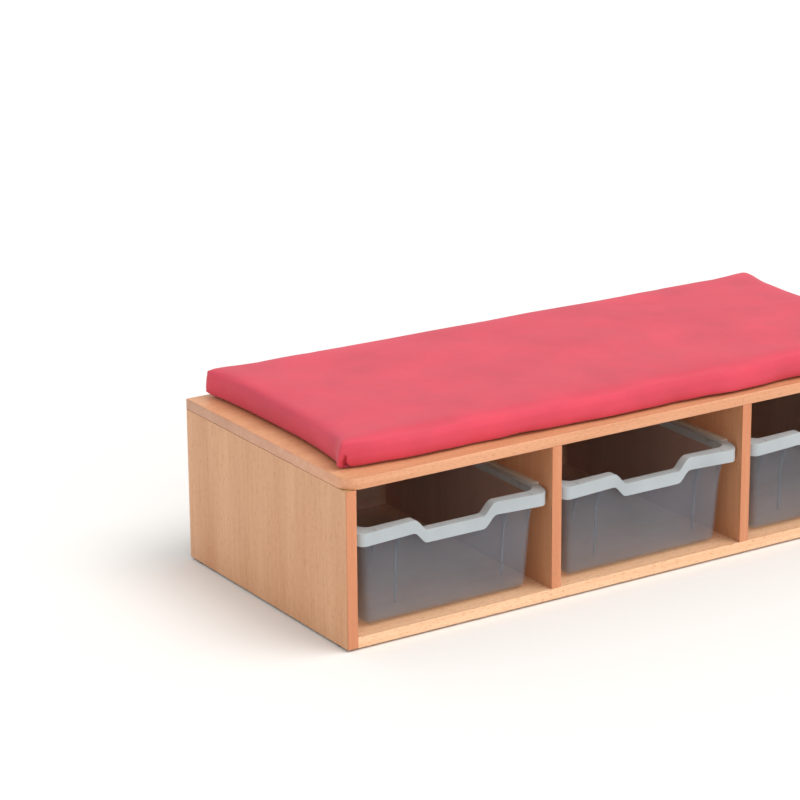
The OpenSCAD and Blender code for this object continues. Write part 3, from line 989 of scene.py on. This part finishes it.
def lay_weave(bm):
    """Lays the weave flat on each side of the cushion, in metres."""
    layer = bm.loops.layers.uv.new("weave")
    for f in bm.faces:
        flat = max(range(3), key=lambda axis: abs(f.normal[axis]))
        across, up = [axis for axis in range(3) if axis != flat]
        for loop in f.loops:
            loop[layer].uv = (loop.vert.co[across], loop.vert.co[up])


def build_cushion(material, sizes):
    """The seat cushion: swollen, sewn, pinched at the corners and laid on the top board."""
    size = cushion_size(sizes)
    low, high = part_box("cushion_cover")
    blank = cushion_blank(size, sizes)
    swell(blank, sizes.cushion_crown)
    bm = bmesh.new()
    bm.from_mesh(blank.data)
    bpy.data.objects.remove(blank)
    seen = [e for e in bm.edges if max(v.co.z for v in e.verts) > UNDERSIDE]
    bmesh.ops.subdivide_edges(bm, edges=seen, cuts=1, use_grid_fill=True)
    bmesh.ops.smooth_vert(
        bm, verts=bm.verts[:], factor=0.5, use_axis_x=True, use_axis_y=True, use_axis_z=True
    )
    # The gaps at the corners need more points than the rest
    near = [e for e in bm.edges if all(may_open(v.co, size) for v in e.verts)]
    bmesh.ops.subdivide_edges(bm, edges=near, cuts=3, use_grid_fill=True)
    for v in bm.verts:
        v.co += sewing(v.co, size) + dart(v.co, size)
        v.co.z = max(v.co.z, 0.0)
    bm.normal_update()
    lay_weave(bm)
    turn = Matrix.Rotation(sizes.cushion_turn, 4, "Z")
    middle = Vector(((low.x + high.x) / 2, (low.y + high.y) / 2, low.z))
    bm.transform(Matrix.Translation(middle) @ turn)
    nodes = ["cushion_cover", "cushion_foam"]
    piece = place(bm, "seat_cushion", [material], "cushion", nodes)


# ---- Stage ----


def soft_sun(name, towards, strength, spread, tone):
    """A wide, even light from far off, like a large softbox: towards points to the light."""
    data = bpy.data.lights.new(name, "SUN")
    data.energy = strength
    data.angle = math.radians(spread)
    data.color = linear(tone)[:3]
    light = in_scene(name, data)
    light.rotation_euler = Vector(towards).to_track_quat("Z", "Y").to_euler()


def studio_floor(colours):
    """A wide plain floor."""
    bm = bmesh.new()
    bmesh.ops.create_grid(bm, x_segments=1, y_segments=1, size=30.0)
    floor = to_object(bm, "studio_floor")
    material = new_material(
        "studio_floor", Base_Color=colours.floor, Roughness=0.9, Specular_IOR_Level=0.1
    )[0]
    floor.data.materials.append(material)


def camera():
    """Three-quarter view from the front left, with a long lens."""
    data = bpy.data.cameras.new("camera")
    data.sensor_width = 36.0
    data.lens = 137.9
    data.clip_end = 100.0
    yaw = Matrix.Rotation(-math.radians(32.638), 4, "Z")
    pitch = Matrix.Rotation(math.pi / 2 - math.radians(17.756), 4, "X")
    roll = Matrix.Rotation(math.radians(-0.478), 4, "Z")
    stand = Matrix.Translation((-2.5171, -3.4827, 1.5842))
    view = in_scene("camera", data)
    view.matrix_world = stand @ yaw @ pitch @ roll
    bpy.context.scene.camera = view


# ---- Operators ----


class BENCH_OT_boards(bpy.types.Operator):
    """Give the boards their beech print, grain along each board's length or height"""

    bl_idname = "bench.boards"
    bl_label = "Boards"

    def execute(self, context):
        colours = context.scene.bench_colours
        board = (colours.board, colours.board_streak)
        # Darker tones for the dividers: painted shade inside the bays
        divider_painted_shade = (colours.divider_painted_shade, colours.divider_streak_painted_shade)
        # The base tones are lighter than the other boards: painted light on the low front
        base = (colours.base, colours.base_streak_painted_light)
        for node, name, grain, face, tones, shift in (
            ("top_panel", "top", "X", "Z", board, 0.0),
            ("base_panel", "base", "X", "Z", base, 1.7),
            ("left_end_panel", "left_end_panel", "Z", "X", board, 2.3),
            ("left_divider", "left_divider", "Z", "X", divider_painted_shade, 3.3),
            ("right_divider", "right_divider", "Z", "X", divider_painted_shade, 4.3),
            ("right_end_panel", "right_end_panel", "Z", "X", board, 5.3),
        ):
            dress(node, board_material("beech_print_" + name, grain, face, tones, colours, shift))
        dress("back_panel", back_board_material(colours))
        return {"FINISHED"}


class BENCH_OT_bands(bpy.types.Operator):
    """Make the edge bands with their eased edges"""

    bl_idname = "bench.bands"
    bl_label = "Edge bands"

    def execute(self, context):
        sizes = context.scene.bench_sizes
        colours = context.scene.bench_colours
        upright, top, base = (
            band_material("beech_edge_band_" + name, grain, tones, colours.board_fleck, shift)
            for name, grain, tones, shift in (
                # The upright bands take the darker tones: painted shade on the upright front edges
                ("upright", "Z", (colours.upright, colours.upright_streak_painted_shade), 0.4),
                ("top", "X", (colours.band, colours.band_streak), 0.9),
                # The base band takes the lighter base tones: painted light on the low front
                ("base", "X", (colours.base, colours.base_streak_painted_light), 1.9),
            )
        )
        top_band(top, sizes)
        straight_band("base_edge_band", base, sizes)
        for name in UPRIGHTS:
            straight_band(name + "_band", upright, sizes)
        return {"FINISHED"}


class BENCH_OT_fittings(bpy.types.Operator):
    """Finish the runners, screws, dowels, cams, glides and patches"""

    bl_idname = "bench.fittings"
    bl_label = "Fittings"

    def execute(self, context):
        colours = context.scene.bench_colours
        runner = moulded_plastic(
            "natural_polypropylene_runner", colours.runner, grain=0.6 * MM, roughness=(0.45, 0.6)
        )
        for bay in BAYS:
            for side in ("left", "right"):
                dress(f"{bay}_bay_{side}_runner", runner)
        plated = metal("zinc_plated_steel", colours.steel, spot=4 * MM, roughness=(0.25, 0.4))
        for name in ("runner_screws", "back_panel_screws", "divider_screws", "cam_bolts"):
            dress(name, plated)
        cast = metal("die_cast_zinc", colours.zinc, spot=2 * MM, roughness=(0.4, 0.6))
        dress("cam_discs", cast)
        wood = bare_beech(colours)
        dress("top_dowels", wood)
        dress("base_dowels", wood)
        glide = moulded_plastic(
            "black_polyethylene_glide", colours.glide, grain=0.8 * MM, roughness=(0.4, 0.55)
        )
        dress("floor_glides", glide)
        dress("hook_patches", tape_material("nylon_hook_tape", colours.hook, spacing=0.9 * MM))
        dress("loop_patches", tape_material("nylon_loop_tape", colours.loop, spacing=0.7 * MM))
        return {"FINISHED"}


class BENCH_OT_trays(bpy.types.Operator):
    """Mould the three trays"""

    bl_idname = "bench.trays"
    bl_label = "Trays"

    def execute(self, context):
        sizes = context.scene.bench_sizes
        colours = context.scene.bench_colours
        rim, wall = (
            moulded_plastic(
                "frosted_polypropylene_" + name,
                tone,
                grain=0.9 * MM,
                roughness=roughness,
                Alpha=alpha,
                IOR=1.49,
            )
            for name, tone, roughness, alpha in (
                # The rim's lighter tone is partly painted light; its higher alpha stands for the
                # doubled plastic
                ("rim", colours.tray_rim_painted_light, (0.4, 0.5), 0.8),
                ("wall", colours.tray_wall, (0.3, 0.4), 0.17),
            )
        )
        for bay in BAYS:
            tray(bay, [rim, wall], sizes)
        return {"FINISHED"}


class BENCH_OT_cushion(bpy.types.Operator):
    """Sew and stuff the seat cushion"""

    bl_idname = "bench.cushion"
    bl_label = "Seat cushion"

    def execute(self, context):
        sizes = context.scene.bench_sizes
        build_cushion(cover_material(context.scene.bench_colours, sizes.weave), sizes)
        return {"FINISHED"}


class BENCH_OT_stage(bpy.types.Operator):
    """Set up the pale floor, the soft studio lights and the camera"""

    bl_idname = "bench.stage"
    bl_label = "Stage"

    def execute(self, context):
        studio_floor(context.scene.bench_colours)
        soft_sun("key", (0.4, -0.35, 0.95), strength=1.6, spread=40, tone="#fffbf6")
        soft_sun("front fill", (-0.1, -1.0, 0.3), strength=0.75, spread=60, tone="#fff4ea")
        soft_sun("sheen", (0.1, 0.9, 0.7), strength=0.15, spread=30, tone="#ffffff")
        world = bpy.data.worlds.new("studio_world")
        world.use_nodes = True
        background = world.node_tree.nodes["Background"]
        background.inputs["Color"].default_value = linear("#fdfeff")
        background.inputs["Strength"].default_value = 0.68
        context.scene.world = world
        context.scene.view_settings.view_transform = "Standard"
        camera()
        return {"FINISHED"}


STEPS = (
    BENCH_OT_boards,
    BENCH_OT_bands,
    BENCH_OT_fittings,
    BENCH_OT_trays,
    BENCH_OT_cushion,
    BENCH_OT_stage,
)


class BENCH_PT_steps(bpy.types.Panel):
    """Lists the steps in the order in which they are run"""

    bl_label = "Storage bench"
    bl_idname = "BENCH_PT_steps"
    bl_space_type = "VIEW_3D"
    bl_region_type = "UI"
    bl_category = "Bench"

    def draw(self, context):
        for step in STEPS:
            self.layout.operator(step.bl_idname)


CLASSES = (BenchSizes, BenchColours, *STEPS, BENCH_PT_steps)


def register():
    for cls in CLASSES:
        bpy.utils.register_class(cls)
    bpy.types.Scene.bench_sizes = bpy.props.PointerProperty(type=BenchSizes)
    bpy.types.Scene.bench_colours = bpy.props.PointerProperty(type=BenchColours)


def unregister():
    del bpy.types.Scene.bench_colours
    del bpy.types.Scene.bench_sizes
    for cls in reversed(CLASSES):
        bpy.utils.unregister_class(cls)


def main():
    register()
    bpy.ops.bench.boards()
    bpy.ops.bench.bands()
    bpy.ops.bench.fittings()
    bpy.ops.bench.trays()
    bpy.ops.bench.cushion()
    bpy.ops.bench.stage()


if __name__ == "__main__":
    main()
